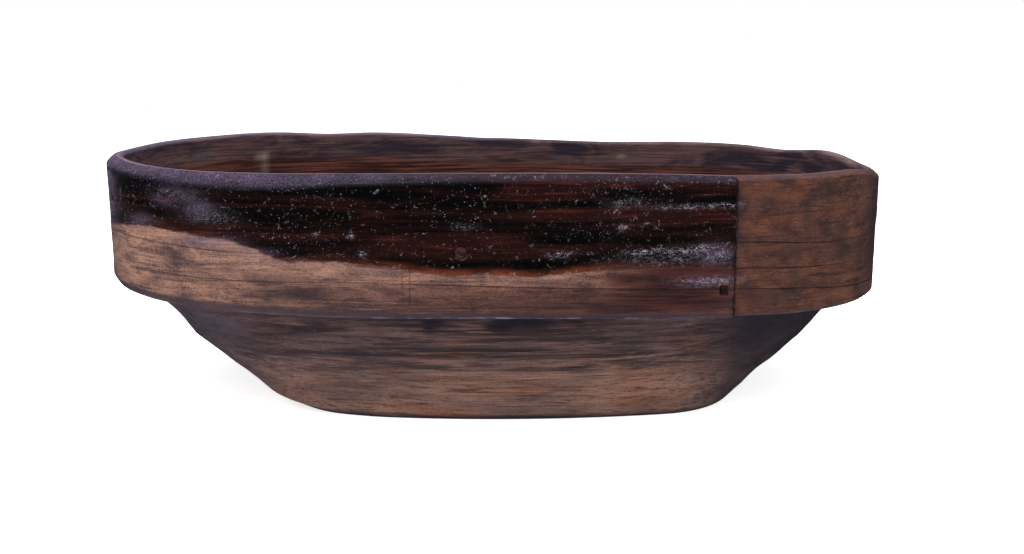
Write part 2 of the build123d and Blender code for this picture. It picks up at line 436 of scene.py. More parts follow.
class Shader:
    """Short names for the nodes that a material or world is made of.

    Its textures follow a mesh attribute, or else the coordinates named.
    """

    def __init__(self, owner, attribute=None, coordinates="Object"):
        self.owner = owner
        owner.use_nodes = True
        self.tree = owner.node_tree
        self.tree.nodes.clear()
        if attribute:
            self.place = self.attribute(attribute, "Vector")
        else:
            self.place = self.made("ShaderNodeTexCoord", coordinates, {})

    def node(self, kind, **settings):
        made = self.tree.nodes.new(kind)
        for key, value in settings.items():
            setattr(made, key, value)
        return made

    def feed(self, socket, value):
        """Link a socket to another node's result, or set it to a constant."""
        if isinstance(value, bpy.types.NodeSocket):
            self.tree.links.new(value, socket)
        else:
            socket.default_value = value

    def made(self, kind, result, inputs, **settings):
        """One result of a new node with some of its inputs fed."""
        made = self.node(kind, **settings)
        for key, value in inputs.items():
            self.feed(made.inputs[key], value)
        return made.outputs[result]

    def attribute(self, label, result):
        return self.made("ShaderNodeAttribute", result, {}, attribute_name=label)

    def number(self, label):
        return self.attribute(label, "Fac")

    def math(self, operation, a, b=0.0, clamp=False):
        return self.made("ShaderNodeMath", 0, {0: a, 1: b}, operation=operation, use_clamp=clamp)

    def times(self, *factors):
        result = factors[0]
        for factor in factors[1:]:
            result = self.math("MULTIPLY", result, factor)
        return result

    def plus(self, *terms):
        result = terms[0]
        for term in terms[1:]:
            result = self.math("ADD", result, term)
        return result

    def stretched(self, scale, shift):
        """The textures' coordinates at a scale of their own along each axis."""
        return self.made("ShaderNodeMapping", 0, {"Vector": self.place, "Scale": scale, "Location": shift})

    def noise(self, scale, detail=3.0, roughness=0.55, distortion=0.0, shift=(0, 0, 0)):
        """Noise with its own size along each axis, in cycles per millimetre."""
        inputs = {"Vector": self.stretched(scale, shift), "Scale": 1.0, "Detail": detail}
        inputs.update({"Roughness": roughness, "Distortion": distortion})
        return self.made("ShaderNodeTexNoise", "Fac", inputs)

    def specks(self, scale, radius, share, shift=(0, 0, 0)):
        """Small specks: one in some cells, a share of them, each with its own size."""
        cells = self.node("ShaderNodeTexVoronoi", feature="F1")
        self.feed(cells.inputs["Vector"], self.stretched(scale, shift))
        self.feed(cells.inputs["Scale"], 1.0)
        split = self.node("ShaderNodeSeparateColor")
        self.feed(split.inputs[0], cells.outputs["Color"])
        size = self.times(self.scale_to(split.outputs[1], 0.4, 1.0), radius)
        inside = self.math("LESS_THAN", cells.outputs["Distance"], size)
        return self.times(inside, self.math("LESS_THAN", split.outputs[0], share))

    def step(self, value, low, high):
        """0 at low, 1 at high, level past them, with an even turn between."""
        inputs = {"Value": value, "From Min": low, "From Max": high}
        return self.made("ShaderNodeMapRange", "Result", inputs, interpolation_type="SMOOTHSTEP")

    def scale_to(self, value, low, high):
        """A value from 0 to 1 spread evenly from low to high."""
        return self.made("ShaderNodeMapRange", "Result", {"Value": value, "To Min": low, "To Max": high})

    def blend(self, amount, under, over, mode="MIX"):
        settings = {"data_type": "RGBA", "blend_type": mode, "clamp_factor": True}
        return self.made("ShaderNodeMix", 2, {0: amount, 6: under, 7: over}, **settings)

    def fade(self, amount, under, over):
        """One number turning into another."""
        inputs = {0: amount, 2: under, 3: over}
        return self.made("ShaderNodeMix", 0, inputs, data_type="FLOAT", clamp_factor=True)

    def two_tones(self, pattern, low, high, dark, light, shade=tone):
        """A colour that turns from one tone to another as a pattern goes from low to high."""
        return self.blend(self.step(pattern, low, high), shade(*dark), shade(*light))

    def layers(self, colour, shade, *layers):
        """Tones over a colour, each (pattern, low, high, share, tone) as in two_tones."""
        for pattern, low, high, share, over in layers:
            colour = self.blend(self.times(self.step(pattern, low, high), share), colour, shade(*over))
        return colour

    def bump(self, height, distance):
        """A bump whose height of 1 stands for a distance in millimetres."""
        return self.made("ShaderNodeBump", 0, {"Height": height, "Distance": distance * MM, "Strength": 1.0})

    def background(self, colour, strength):
        return self.made("ShaderNodeBackground", 0, {"Color": colour, "Strength": strength})

    def surface(self, colour, roughness, specular=SOFT_SPECULAR, coat=0.0, **others):
        """The finished material: a soft sheen, and a glossy coat where there is lacquer.

        Other inputs of the surface go by name, with _ for a space.
        """
        inputs = {"Base Color": colour, "Roughness": roughness, "Specular IOR Level": specular}
        inputs.update({"Coat Weight": coat, "Coat Roughness": COAT_ROUGHNESS})
        inputs.update({key.replace("_", " "): value for key, value in others.items()})
        return self.output("ShaderNodeOutputMaterial", self.made("ShaderNodeBsdfPrincipled", 0, inputs))

    def output(self, kind, shader):
        self.feed(self.node(kind).inputs["Surface"], shader)
        return self.owner


# --- Materials ---------------------------------------------------------------


def bare_band_wood(m):
    """Colour and relief of the band's bare wood: fibres along the strip, mottled."""
    fibre = m.noise((0.045, 1.0, 1.3), 6, 0.7, 0.3)
    fine = m.noise((0.40, 1.0, 1.7), 5, 0.75, shift=(3, 7, 1))
    upright = m.noise((2.2, 1.0, 0.35), 4, 0.75, shift=(9, 2, 4))
    grit = m.noise((1.6, 1.0, 1.9), 4, 0.8, shift=(1, 5, 7))
    patch = m.noise((0.045, 0.1, 0.13), 5, 0.65, 0.7)
    stain = m.noise((0.030, 0.1, 0.12), 6, 0.7, 0.9, shift=(40, 3, 9))
    mottle = m.noise((0.085, 0.1, 0.13), 6, 0.7, 0.4, shift=(8, 3, 2))
    colour = m.layers(
        m.two_tones(patch, 0.36, 0.64, (88, 63, 60), (146, 108, 90), wood_tone),
        wood_tone,
        (fibre, 0.52, 0.66, 0.7, (158, 120, 100)),
        (fibre, 0.48, 0.33, 0.85, (60, 42, 42)),
        (fine, 0.50, 0.36, 0.6, (56, 38, 38)),
        (upright, 0.53, 0.68, 0.4, (152, 124, 118)),
        (grit, 0.50, 0.34, 0.6, (50, 35, 37)),
        (grit, 0.56, 0.70, 0.5, (172, 138, 120)),
    )
    # The deep mark darkens the wood low down and towards the right; at the left tip it is painted shade
    # against the key light.
    colour = m.blend(m.number("deep"), colour, (0.34, 0.26, 0.27, 1), "MULTIPLY")
    warm_colour = m.layers(
        m.two_tones(mottle, 0.32, 0.70, (52, 31, 29), (92, 55, 38), wood_tone),
        wood_tone,
        (fibre, 0.50, 0.35, 0.75, (40, 22, 22)),
        (fine, 0.52, 0.68, 0.6, (112, 74, 50)),
        (grit, 0.50, 0.35, 0.6, (34, 21, 23)),
        (stain, 0.50, 0.64, 0.35, (36, 24, 29)),
    )
    colour = m.blend(m.number("warm"), colour, warm_colour)
    # Stains darken the wood; the stain spots also hold painted shade at the right tip and a painted shadow
    # beside the seam.
    broken = m.times(m.number("stain"), m.scale_to(fine, 0.1, 1.7))
    dark = m.plus(broken, m.times(m.step(stain, 0.54, 0.68), 0.5))
    colour = m.blend(dark, colour, wood_tone(36, 26, 31))
    red = m.times(m.number("red"), m.scale_to(grit, 0.5, 1.4))
    red_wood = m.two_tones(fibre, 0.40, 0.60, (28, 14, 15), (62, 27, 22), wood_tone)
    colour = m.blend(red, colour, red_wood)
    relief = m.plus(m.times(fibre, 0.6), m.times(fine, 0.5), m.times(grit, 0.3))
    return colour, relief


def lacquer_film(m):
    """Colour of the dark lacquer: nearly black, with red-brown streaks along the strip."""
    streak = m.noise((0.010, 0.1, 0.15), 5, 0.6, 0.5, shift=(11, 5, 2))
    thread = m.noise((0.05, 0.2, 0.9), 5, 0.7, shift=(5, 5, 5))
    colour = m.two_tones(streak, 0.44, 0.60, (1, 1, 1), (27, 7, 4))
    colour = m.layers(colour, tone, (thread, 0.45, 0.62, 0.4, (13, 5, 5)))
    bright = m.times(m.step(thread, 0.48, 0.66), m.step(streak, 0.50, 0.62), 0.9)
    return m.blend(bright, colour, tone(68, 22, 8))


def inner_wall(m):
    """Colour, roughness and cover inside: bare above a line, lacquered below it."""
    cloud = m.noise((0.03, 0.1, 0.12), 5, 0.65, 0.8, shift=(70, 1, 3))
    fibre = m.noise((0.03, 0.3, 1.2), 5, 0.65, shift=(30, 1, 3))
    ragged = m.noise((0.03, 0.1, 0.1), 4, shift=(21, 4, 4))
    wood = m.layers(
        m.two_tones(cloud, 0.38, 0.62, (48, 40, 52), (102, 77, 76)),
        tone,
        (fibre, 0.52, 0.38, 0.6, (40, 30, 38)),
        (fibre, 0.55, 0.68, 0.4, (116, 86, 78)),
    )
    film = m.two_tones(fibre, 0.42, 0.62, (50, 29, 27), (112, 68, 58))
    cover = m.step(m.plus(m.number("inner_lacquer"), m.scale_to(ragged, -2.0, 2.0)), -1.6, 1.6)
    drip = m.times(m.number("pale"), m.scale_to(fibre, 0.2, 1.5))
    colour = m.blend(drip, m.blend(cover, wood, film), tone(160, 144, 128))
    rough = m.fade(cover, m.scale_to(fibre, 0.6, 0.8), m.scale_to(ragged, 0.3, 0.45))
    return colour, rough, cover


def lint_and_specks(m, dustiness):
    """White dust on the lacquer: specks and short curled fibres, more of them where dusty."""
    large = m.specks((0.8, 0.9, 0.9), 0.13, m.scale_to(dustiness, 0.03, 0.20))
    medium = m.specks((1.9, 1.0, 2.1), 0.22, m.scale_to(dustiness, 0.07, 0.45), shift=(5, 2, 3))
    small = m.specks((2.9, 1.0, 2.7), 0.26, m.scale_to(dustiness, 0.08, 0.5), shift=(2, 7, 1))
    specks = m.plus(large, medium, m.times(small, 0.5))
    curl = m.noise((0.30, 0.2, 0.34), 2, 0.5, 1.6, shift=(3, 1, 8))
    on_curl = m.step(m.math("ABSOLUTE", m.math("SUBTRACT", curl, 0.5)), 0.022, 0.010)
    pieces = m.step(m.noise((0.35, 0.2, 0.42), 2, shift=(6, 6, 2)), 0.60, 0.66)
    return m.plus(m.times(specks, 0.7), m.times(on_curl, pieces, 0.25))


def white_dust(m, cover):
    """Specks on the lacquer, and scuffs broken up into streaks and crumbs."""
    scuffed = m.number("scuff")
    field = m.step(m.noise((0.05, 0.1, 0.11), 4, 0.65, shift=(8, 1, 5)), 0.46, 0.66)
    dustiness = m.plus(m.times(field, 0.3), m.times(scuffed, 0.8))
    specks = m.times(lint_and_specks(m, dustiness), cover)
    smear = m.noise((0.7, 0.5, 1.5), 6, 0.8, shift=(4, 4, 1))
    crumbs = m.noise((2.0, 1.0, 2.4), 3, 0.8, shift=(7, 2, 6))
    scuff = m.times(scuffed, m.step(smear, 0.49, 0.55), m.step(crumbs, 0.44, 0.56))
    return m.math("ADD", specks, m.times(scuff, 1.1), clamp=True)


def rim_band_material():
    m = Shader(bpy.data.materials.new("band_wood"), attribute="strip")
    wood, relief = bare_band_wood(m)
    film = lacquer_film(m)

    # Lacquer mask: the distance above its edge, made ragged at several sizes.
    ragged = m.noise((0.09, 0.1, 0.30), 6, 0.7, shift=(2, 8, 6))
    distance = m.plus(m.number("lacquer"), m.scale_to(ragged, -2.2, 2.2))
    cover = m.step(distance, -0.5, 0.8)
    thin = m.times(m.step(distance, -0.3, 0.6), m.step(distance, 3.4, 0.8), m.scale_to(ragged, -0.1, 1.5))
    orange = m.two_tones(ragged, 0.42, 0.60, (50, 18, 7), (94, 41, 12))
    film = m.blend(m.times(thin, m.number("thin_edge")), film, orange)
    outer_colour = m.blend(cover, wood, film)

    # Dust lies on what faces up, on the scuffs and in specks on the lacquer; its haze also carries a painted
    # cool sheen at both tips.
    dust = m.noise((1.3, 0.9, 1.5), 5, 0.8)
    cloudy = m.noise((0.10, 0.1, 0.25), 6, 0.75, shift=(14, 14, 3))
    grains = m.step(dust, 0.44, 0.60)
    haze_dust_and_sheen = m.times(m.number("haze_dust_and_sheen"), m.step(cloudy, 0.32, 0.60), m.scale_to(grains, 0.4, 1.0))
    outer_colour = m.blend(m.times(haze_dust_and_sheen, 0.75), outer_colour, tone(98, 84, 106))
    skirt = m.times(m.number("skirt"), m.scale_to(cloudy, 0.7, 1.2))
    outer_colour = m.blend(m.times(skirt, 0.85), outer_colour, tone(44, 36, 45))
    lip = m.times(m.number("lip"), m.step(cloudy, 0.44, 0.66), m.scale_to(dust, 0.2, 1.4))
    outer_colour = m.blend(lip, outer_colour, tone(126, 114, 128))
    white = white_dust(m, cover)
    outer_colour = m.blend(white, outer_colour, tone(182, 175, 192))

    inside = m.number("inside")
    inner_colour, inner_rough, inner_cover = inner_wall(m)
    colour = m.blend(inside, outer_colour, inner_colour)
    # Painted sheen and dust on the bevel and the inner top edge: a lavender tint standing for the cool
    # overhead light's reflection.
    bevel = m.times(m.number("bevel_dust_and_sheen"), m.scale_to(grains, 0.3, 1.0), m.scale_to(cloudy, -0.3, 2.1))
    colour = m.blend(m.times(bevel, 0.8), colour, tone(92, 80, 106))
    # Cracks darken the band; the crack marks also paint shade in the square peg's pit and a shadow of the
    # lap's end along the seam.
    broken_crack = m.times(m.number("crack"), m.scale_to(m.noise((0.2, 0.1, 0.4), 4), -0.1, 1.7))
    colour = m.blend(m.math("MULTIPLY", broken_crack, 0.85, clamp=True), colour, tone(16, 10, 12))

    dust_and_sheen = m.math("ADD", m.times(haze_dust_and_sheen, 1.4), m.plus(m.number("bevel"), white, m.number("dull")), clamp=True)
    film_rough = m.fade(dust_and_sheen, m.scale_to(cloudy, 0.22, 0.42), 0.85)
    rough = m.fade(cover, m.scale_to(relief, 0.5, 0.85), film_rough)
    rough = m.fade(inside, rough, inner_rough)
    clean_film = m.times(cover, m.math("SUBTRACT", 1.0, dust_and_sheen))
    coat = m.times(m.fade(inside, clean_film, m.times(inner_cover, 0.4)), COAT_SHARE)
    film_relief = m.plus(m.times(cloudy, 0.6), m.times(relief, 0.2), m.times(white, 0.5))
    smooth_part = m.times(cover, m.math("SUBTRACT", 1.0, inside))
    normal = m.bump(m.fade(smooth_part, relief, film_relief), 0.28)
    return m.surface(colour, rough, coat=coat, Normal=normal)


def base_material():
    """The carved base: grey-brown wood with its grain along the bowl's length."""
    m = Shader(bpy.data.materials.new("base_wood"), attribute="place")
    grain = m.noise((0.017, 0.16, 0.42), 7, 0.68, 0.6)
    fine = m.noise((0.045, 0.9, 1.3), 6, 0.75, shift=(6, 1, 2))
    pore = m.noise((0.13, 1.6, 2.2), 4, 0.75, shift=(2, 2, 8))
    grit = m.noise((1.3, 1.3, 1.8), 4, 0.8, shift=(1, 3, 4))
    cloud = m.noise((0.020, 0.04, 0.07), 5, 0.6, shift=(1, 9, 2))
    hue = m.noise((0.022, 0.05, 0.10), 4, 0.6, 0.6, shift=(5, 5, 9))
    colour = m.two_tones(grain, 0.38, 0.62, (48, 35, 36), (114, 85, 76), wood_tone)
    # Painted light: the lower half paler, as lit by light bounced from the floor.
    colour = m.blend(m.times(m.number("light"), 0.55), colour, wood_tone(146, 112, 98))
    colour = m.layers(
        colour,
        wood_tone,
        (fine, 0.50, 0.36, 0.8, (42, 29, 30)),
        (fine, 0.54, 0.68, 0.6, (150, 118, 104)),
        (pore, 0.57, 0.68, 0.7, (36, 24, 25)),
        (grit, 0.50, 0.36, 0.5, (44, 32, 34)),
        (cloud, 0.45, 0.65, 0.45, (60, 48, 53)),
    )
    colour = m.blend(m.step(hue, 0.50, 0.66), colour, (0.98, 0.80, 0.66, 1), "MULTIPLY")
    colour = m.blend(m.step(hue, 0.50, 0.36), colour, (0.78, 0.83, 0.92, 1), "MULTIPLY")
    # Stains, with painted shade under the band and along the foot.
    stain_and_shade = m.times(m.number("stain"), m.scale_to(grain, 0.1, 1.9), m.scale_to(fine, 0.5, 1.6))
    colour = m.blend(m.times(stain_and_shade, 0.95), colour, wood_tone(27, 22, 30))
    # Painted light and shade on the ends: a cool grey-blue on the left end, lit from the left, and a
    # blue-black shade on the right end.
    blotches = m.times(m.scale_to(cloud, 0.3, 1.6), m.scale_to(grain, 0.5, 1.4))
    colour = m.blend(m.times(m.number("left_end_cool_light"), blotches, 0.75), colour, wood_tone(58, 51, 63))
    colour = m.blend(m.times(m.number("right_end_shade"), blotches), colour, wood_tone(33, 28, 38))
    inside = m.number("inside")
    film = m.two_tones(grain, 0.4, 0.62, (42, 22, 19), (74, 39, 30))
    film = m.layers(film, tone, (fine, 0.52, 0.36, 0.5, (22, 11, 10)))
    colour = m.blend(inside, colour, film)
    colour = m.blend(m.number("crack"), colour, tone(22, 15, 15))
    relief = m.plus(m.times(grain, 0.6), m.times(fine, 0.7), m.times(pore, -0.4))
    rough = m.fade(inside, m.scale_to(relief, 0.5, 0.85), m.scale_to(cloud, 0.4, 0.55))
    return m.surface(colour, rough, coat=m.times(inside, 0.25), Normal=m.bump(relief, 0.5))


def bond_material():
    """Dark, uneven grime."""
    m = Shader(bpy.data.materials.new("bond"))
    grime = m.noise((1200, 1200, 900), 4)
    colour = m.two_tones(grime, 0.4, 0.65, (16, 11, 12), (58, 43, 42))
    return m.surface(colour, m.scale_to(grime, 0.5, 0.9), Normal=m.bump(grime, 0.2))


def peg_material(name, dark, light):
    """End grain: small pores and a mottled tint."""
    m = Shader(bpy.data.materials.new(name))
    pores = m.noise((2600, 1500, 2600), 3, 0.7)
    tint = m.noise((500, 500, 700), 3, shift=(2, 1, 4))
    colour = m.two_tones(tint, 0.4, 0.6, dark, light)
    colour = m.layers(colour, tone, (pores, 0.48, 0.62, 0.8, (14, 8, 8)))
    return m.surface(colour, m.scale_to(pores, 0.35, 0.7), Normal=m.bump(pores, 0.2))


# --- Rim band ----------------------------------------------------------------

TIP_FLARE_LENGTH = 62.0
TIP_FLARE_LOW = 1.9
TIP_FLARE_TOP = 2.5
SHOULDER_STEP = 0.25  # run of the step where a lap's hidden face begins
CHECK_HALF = 0.28  # half the width of a drying check
BAND_PARTS = (6, 12, 1, 1, 11, 1, 1, 14, 1, 1, 26, 9)  # rows in each part, from the lower edge up
CHECK_PARTS = (3, 6, 9)  # the parts whose first row is a check's bottom
PAD_DIP = 0.2  # the ramp to the pad starts a little below the face
LAP_END_CORNER = 1.9  # radius of the outer lap's top corner
LAP_END_REACH = 5.0  # length of the lap that its ragged end draws with it
TIP_STEP = 0.9  # step in the right tip's outer face, where a fibre lifted
TIP_STEP_REACH = 26.0
HAIRLINE_HALF = 0.28
HOLE_DEPTH, PIT_DEPTH = 0.5, 1.5  # the outer face round the round and the square peg
THINNEST = 0.3  # of the band, where a lap runs out
BARE = -50.0  # a place so far below the lacquer's edge that it is all bare
INNER_FILM_DROP = 11.5  # how far below the rim the lacquer inside begins

# Spots on the band: x, height, half length, half height and strength.
# Stains; the tall spot at the right tip is painted shade, and the thin upright one at x 85.5 a painted
# shadow of the lap's end beside the seam.
BAND_STAINS_AND_SHADE = (
    (-68, 52.5, 17, 3.2, 0.95), (-95, 60, 9, 3, 0.35), (30, 49, 60, 1.8, 0.55), (-60, 48, 60, 1.3, 0.45),
    (97, 84, 5, 3, 0.5), (111, 78, 2.2, 6, 0.5), (105, 66, 6, 3, 0.5), (125, 66, 6, 6, 0.6),
    (100, 51, 9, 2, 0.5), (85.5, 75, 1.2, 14, 0.5), (90, 71, 4, 2, 0.4), (143, 70, 14, 26, 1.0),
)
RED_PATCHES = (
    (62, 51, 24, 4.5, 1.3), (68, 58, 20, 5.5, 1.7), (38, 50, 16, 2.5, 0.5), (47, 58, 11, 3.6, 1.0),
)
# Dust haze on the lacquer; the spot at the left tip is a painted cool sheen.
HAZE_DUST_AND_SHEEN = (
    (-145, 84, 13, 14, 1.2), (-113, 86, 9, 3.2, 1.0), (-104, 82, 6, 3, 0.8), (-128, 76, 9, 2.6, 0.7),
    (-101, 70.2, 11, 2.4, 0.8), (-86, 67.2, 9, 1.4, 0.8), (-76, 64.6, 10, 0.6, 1.0),
    (77, 66.5, 6, 3.2, 0.8), (75, 57, 8, 2.0, 0.7),
)
SCUFFS = (
    (50, 67.8, 5, 0.9, 0.9), (58, 68.2, 5, 0.8, 1.0), (65, 68.0, 4, 0.9, 1.0), (71, 68.8, 4, 0.9, 0.9),
    (60, 65.4, 14, 2.0, 0.22), (77, 66.5, 6, 2.6, 0.4), (74, 57.0, 11, 1.6, 0.4),
    (44, 76.5, 1.5, 0.9, 0.9), (22, 67.5, 4, 0.9, 0.5), (-10, 77, 4, 1.0, 0.2), (45, 85, 5, 1.2, 0.35),
    (-62, 74, 0.9, 0.6, 0.8), (-46, 67.4, 1.1, 0.7, 1.0), (-50, 73.5, 1.1, 0.7, 0.8),
    (-100, 79, 9, 2, 0.22), (79, 83.6, 7, 0.6, 0.9), (66, 83.2, 12, 0.8, 0.4),
)
PALE_DRIPS = (
    (-109, TOP_Z - 8, 2.6, 1.8, 1.1), (-109, TOP_Z - 13, 1.5, 4, 0.6),
    (60, TOP_Z - 9, 1.2, 1.0, 0.6), (-135, TOP_Z - 6, 7, 3, 0.25),
)


def spread(start, end, spacing):
    """Evenly spaced places from start up to end, without end."""
    count = max(int(round((end - start) / spacing)), 1)
    return list(start + (end - start) * np.arange(count) / count)


def spread_through(ends, spacings):
    """Places from the first of some ends to the last, with a spacing for each stretch."""
    places = []
    for start, end, spacing in zip(ends, ends[1:], spacings):
        places += spread(start, end, spacing)
    return places + [ends[-1]]


def band_columns():
    """Places of the band's columns, and the part of the band that each belongs to."""
    shoulder = front(SEAM_X + BOND)
    inner_shoulder = ROUND + front(INNER_END_X - BOND)
    peg, seam_peg = ROUND + front(LAP_PEG[0]), ROUND + front(SEAM_PEG[0])
    right_tip, left_tip = QUARTER + 10, 3 * QUARTER - 6
    ring = (shoulder + SHOULDER_STEP, shoulder + 6, right_tip, left_tip, inner_shoulder - 4, inner_shoulder)
    lap_start, lap_end = inner_shoulder + SHOULDER_STEP, ROUND + SEAM_PLACE
    lap = (lap_start, inner_shoulder + 3, peg - 4, peg + 4, seam_peg - 2.5, lap_end)
    parts = {
        "inner_lap": spread_through((LAP_START, shoulder), (4.0,)),
        "ring": spread_through(ring, (0.5, 1.15, 3.2, 1.1, 0.3)),
        "outer_lap": spread_through(lap, (0.3, 1.1, 0.35, 1.1, 0.35)),
    }
    kinds = [kind for kind, places in parts.items() for _ in places]
    return np.concatenate(list(parts.values())), np.array(kinds)


def band_rows(place):
    """Height of every row of the band at each place, and which rows are checks."""
    low = SKIRT_Z + through(SKIRT_WAVE, place)
    top = TOP_Z + through(TOP_WAVE, place)
    anchors = [low, low + through(CHAMFER_HEIGHT, place)]
    for knots in (LOW_CHECK, MIDDLE_CHECK, HIGH_CHECK):
        check = through(knots, place)
        anchors += [check - CHECK_HALF, check, check + CHECK_HALF]
    anchors += [top - through(BEVEL_HEIGHT, place), top]
    heights, check_rows = [], []
    for part, count in enumerate(BAND_PARTS):
        start, end = anchors[part], anchors[part + 1]
        if part in CHECK_PARTS:
            check_rows.append(len(heights))
        for share in np.arange(count) / count:
            if part == len(BAND_PARTS) - 1:
                share = math.sin(share * math.pi / 2)
            elif part == len(BAND_PARTS) - 2:
                share = share**1.25
            heights.append(start + (end - start) * share)
    heights.append(anchors[-1])
    return np.array(heights), check_rows


class Band:
    """The band's grid, rows by columns, which its outer and inner face share."""

    def __init__(self):
        self.places, kinds = band_columns()
        self.column = near_middle(self.places)[None, :]
        self.heights, self.check_rows = band_rows(self.column[0])
        self.low, self.top = self.heights[0], self.heights[-1]
        self.share_up = (self.heights - self.low) / (self.top - self.low)
        self.bevel_height = through(BEVEL_HEIGHT, self.column)
        self.chamfer_height = through(CHAMFER_HEIGHT, self.column)
        self.on_ring = (kinds == "ring")[None, :]
        self.on_lap = (kinds == "outer_lap")[None, :]
        self.outer_hidden = (kinds == "inner_lap")[None, :]
        self.outer_shown = ~self.outer_hidden
        self.inner_shown = ~self.on_lap
        self.right_of_seam = self.on_ring & (self.places < 2 * QUARTER)
        zero = np.zeros_like(self.heights)
        self.upright = np.stack([zero, zero, self.heights], -1)
        self.moved = self.places - self.drawn_back()
        self.direction = RIM.direction(self.moved)

    def drawn_back(self):
        """How far the outer lap's blunt, slightly ragged end pulls its columns back."""
        into_corner = np.clip((self.heights - (self.top - LAP_END_CORNER)) / LAP_END_CORNER, 0, 1)
        cut = LAP_END_CORNER * (1 - np.sqrt(1 - into_corner**2))
        cut = cut + 0.30 * unevenness(self.upright, 1.5, 3) + 0.35 * unevenness(self.upright, 6.0, 13)
        cut = np.maximum(cut + 0.35 * (1 - self.share_up), 0)
        end_gap = ROUND + SEAM_PLACE - self.places
        return self.on_lap * np.clip(1 - end_gap / LAP_END_REACH, 0, 1) * cut

    def design(self):
        """How far out the outer and the inner face lie before wear, by column."""
        ramp = np.clip((self.column - PAD_START) / (SEAM_PLACE - PAD_START), 0, 1)
        pad_out = np.maximum(0, -PAD_DIP + (LAP_STEP + PAD_DIP) * ramp)
        in_pad = self.on_lap | (self.on_ring & (self.column > PAD_START) & (self.column < 0))
        outer = np.where(in_pad, pad_out, 0.0)
        outer = np.where(self.outer_hidden, parting(self.column) - BOND, outer)
        inner = np.where(self.on_lap, parting(self.column), -BAND_WALL)
        return outer, inner

    def rounding(self, bevel_height, chamfer_height, depth_top, depth_low):
        """How far a face is drawn in near the top and bottom of the band."""
        up = np.clip((self.heights - (self.top - bevel_height)) / bevel_height, 0, 1)
        down = np.clip(((self.low + chamfer_height) - self.heights) / chamfer_height, 0, 1)
        return depth_top * up**1.5 + depth_low * down**1.2

    def worn(self):
        """How far out both faces lie with rounded edges and an uneven, flared wall."""
        outer, inner = self.design()
        thickness = outer - inner
        bevel = np.minimum(3.0, 0.6 * thickness) * np.where(self.outer_hidden, 0.2, 1)
        chamfer = np.minimum(2.0, 0.5 * thickness) * self.outer_shown
        inner_round = np.minimum(1.0, 0.3 * thickness) * self.inner_shown
        outer = outer - self.rounding(self.bevel_height, self.chamfer_height, bevel, chamfer)
        inner = inner + self.rounding(1.2, 1.0, inner_round, inner_round * 0.4)
        solid = np.concatenate([RIM.at(self.direction), self.heights[..., None]], -1)
        outer += (0.32 * unevenness(solid, 34, 1) + 0.10 * unevenness(solid, 9, 2)) * self.outer_shown
        inner += 0.25 * unevenness(solid, 28, 5) * self.inner_shown
        tip = np.exp(-(((np.abs(self.column) - QUARTER) / TIP_STEP_REACH) ** 2)) * (self.column > 0)
        outer += tip * self.outer_shown * TIP_STEP * (smooth(self.heights, 71.0, 73.0) - 0.5)
        near_tip = np.exp(-(((np.abs(self.column) - QUARTER) / TIP_FLARE_LENGTH) ** 2))
        flare = near_tip * (TIP_FLARE_LOW + (TIP_FLARE_TOP - TIP_FLARE_LOW) * self.share_up)
        outer += flare * self.outer_shown
        inner += flare * self.inner_shown
        return outer, inner, thickness

    def cut_checks(self, outer, crack):
        """Drying checks and upright hairlines, cut into the outer face and marked as cracks."""
        depths = (LOW_CHECK_DEPTH, MIDDLE_CHECK_DEPTH, HIGH_CHECK_DEPTH)
        for row, knots in zip(self.check_rows, depths):
            depth = np.maximum(through(knots, self.column[0]), 0) * self.outer_shown[0]
            outer[row] -= depth
            crack[row] = np.clip(depth / 0.3, 0, 1)
        for place, low_end, high_end, strength in HAIRLINES:
            line = np.exp(-(((self.column - place) / HAIRLINE_HALF) ** 2)) * self.outer_shown
            line = line * smooth(self.heights, low_end - 1, low_end + 1)
            line = line * smooth(self.heights, high_end + 1, high_end - 1)
            np.maximum(crack, strength * line, out=crack)
            outer -= 0.12 * strength * line

    def cut_peg_holes(self, outer, crack):
        """The round and the square peg's holes, the smudges by the peg and the dark line along the seam; the
        pit's dark is painted shade, the seam's line a dark joint with a painted shadow of the lap's end.
        """
        peg, seam_peg = front(LAP_PEG[0]), front(SEAM_PEG[0])
        from_peg = np.hypot(self.column - peg, self.heights - LAP_PEG[1])
        hole = smooth(from_peg, LAP_PEG_RADIUS + 0.45, LAP_PEG_RADIUS + 0.05) * self.on_lap
        from_square = np.maximum(np.abs(self.column - seam_peg), np.abs(self.heights - SEAM_PEG[1]))
        pit = smooth(from_square, SEAM_PEG_HALF + 0.35, SEAM_PEG_HALF - 0.05) * self.on_lap
        outer -= hole * HOLE_DEPTH + pit * PIT_DEPTH
        beside_peg = self.spots([(peg - 2.6, LAP_PEG[1] - 0.6, 2.2, 1.8, 0.8)])
        # A dark joint along the seam, with a painted shadow of the outer lap's end.
        from_seam = np.abs(self.column - SEAM_PLACE) + 0.7 * unevenness(self.upright, 2.4, 23)
        by_seam = (0.4 + 0.4 * smooth(self.heights, 53, 62)) * smooth(from_seam, 1.7, 0.1)
        for mark in (hole * 0.9, pit, beside_peg * self.on_lap, by_seam * self.outer_shown):
            np.maximum(crack, mark, out=crack)

    def groove(self, thickness):
        """How deep the groove for the base's bead is cut into the inner face."""
        above = smooth(self.heights, BEAD_Z - 0.3, BEAD_Z + 0.3)
        below = smooth(self.heights, BEAD_Z + BEAD_HEIGHT + 0.3, BEAD_Z + BEAD_HEIGHT - 0.3)
        return above * below * BEAD_DEPTH * (thickness > BEAD_DEPTH + 1.5) * self.inner_shown

    def spots(self, spots):
        return blobs(self.column, self.heights, spots)

